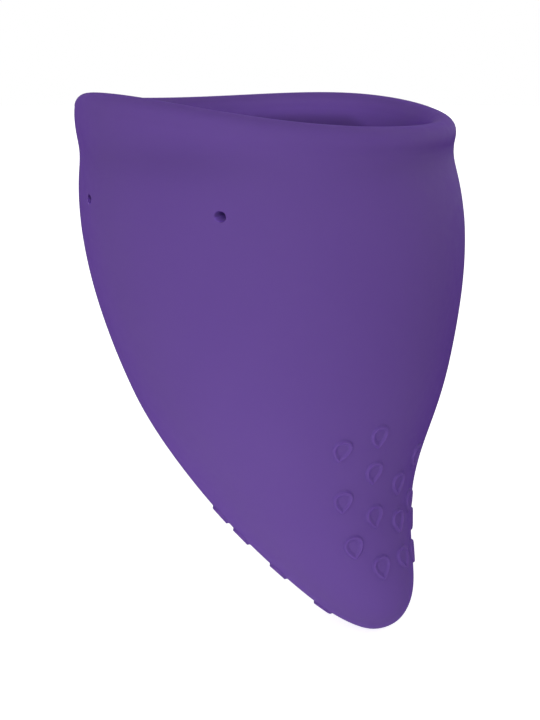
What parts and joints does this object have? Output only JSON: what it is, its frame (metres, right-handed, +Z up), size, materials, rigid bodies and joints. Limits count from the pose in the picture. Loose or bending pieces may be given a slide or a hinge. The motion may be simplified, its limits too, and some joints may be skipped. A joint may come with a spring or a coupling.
{
  "type": "menstrual cup",
  "caption": "Asymmetric stemless cup of soft silicone with a rolled wavy lip, vent holes under the lip, and raised teardrop grips on a leaning tip that bends.",
  "frame": {"origin": "bottom centre: Z = 0 is the lowest point of the tip, X = 0 the middle of the overall depth, Y = 0 the mirror plane", "axes": "+Z up out of the mouth, +X towards the side the tip leans to, XZ is the mirror plane"},
  "size_m": [0.0446, 0.045, 0.0616],
  "materials": {
    "silicone": "matte moulded silicone, violet",
    "silicone_grip": "matte moulded silicone, violet, raised rolled edge"
  },
  "bodies": {
    "cup": {"rim_band": "silicone", "bell_wall": "silicone", "neck_wall": "silicone", "grip_drop_front_01": "silicone_grip", "grip_drop_front_04": "silicone_grip", "grip_drop_front_05": "silicone_grip", "grip_drop_front_06": "silicone_grip", "grip_drop_front_07": "silicone_grip", "grip_drop_front_08": "silicone_grip", "grip_drop_front_09": "silicone_grip", "grip_drop_front_12": "silicone_grip", "grip_drop_front_13": "silicone_grip", "grip_drop_front_14": "silicone_grip", "grip_drop_front_15": "silicone_grip", "grip_drop_back_01": "silicone_grip", "grip_drop_back_04": "silicone_grip", "grip_drop_back_05": "silicone_grip"},
    "tip": {"pull_tip": "silicone", "grip_drop_front_02": "silicone_grip", "grip_drop_front_03": "silicone_grip", "grip_drop_front_10": "silicone_grip", "grip_drop_front_11": "silicone_grip", "grip_drop_front_16": "silicone_grip", "grip_drop_front_17": "silicone_grip", "grip_drop_back_02": "silicone_grip", "grip_drop_back_03": "silicone_grip", "grip_drop_back_06": "silicone_grip", "grip_drop_back_07": "silicone_grip", "grip_drop_back_08": "silicone_grip", "grip_drop_back_09": "silicone_grip", "grip_drop_back_10": "silicone_grip", "grip_drop_back_11": "silicone_grip", "grip_drop_back_12": "silicone_grip", "grip_drop_back_13": "silicone_grip", "grip_drop_back_14": "silicone_grip", "grip_drop_back_15": "silicone_grip", "grip_drop_back_16": "silicone_grip", "grip_drop_back_17": "silicone_grip"}
  },
  "joints": [
    {"name": "tip_flex", "type": "hinge", "parent": "cup", "child": "tip", "pos_m": [0.00522, 0, 0.015], "axis": [0, 1, 0], "range_deg": [-15, 15], "stiffness_Nm_per_rad": 0.02, "deforming": ["neck_wall", "grip_drop_front_01", "grip_drop_front_02", "grip_drop_front_08", "grip_drop_front_09", "grip_drop_front_14", "grip_drop_front_15", "grip_drop_front_16", "grip_drop_front_17", "grip_drop_back_01", "grip_drop_back_02", "grip_drop_back_04", "grip_drop_back_05", "grip_drop_back_06", "grip_drop_back_07", "grip_drop_back_12", "grip_drop_back_13"]}
  ]
}
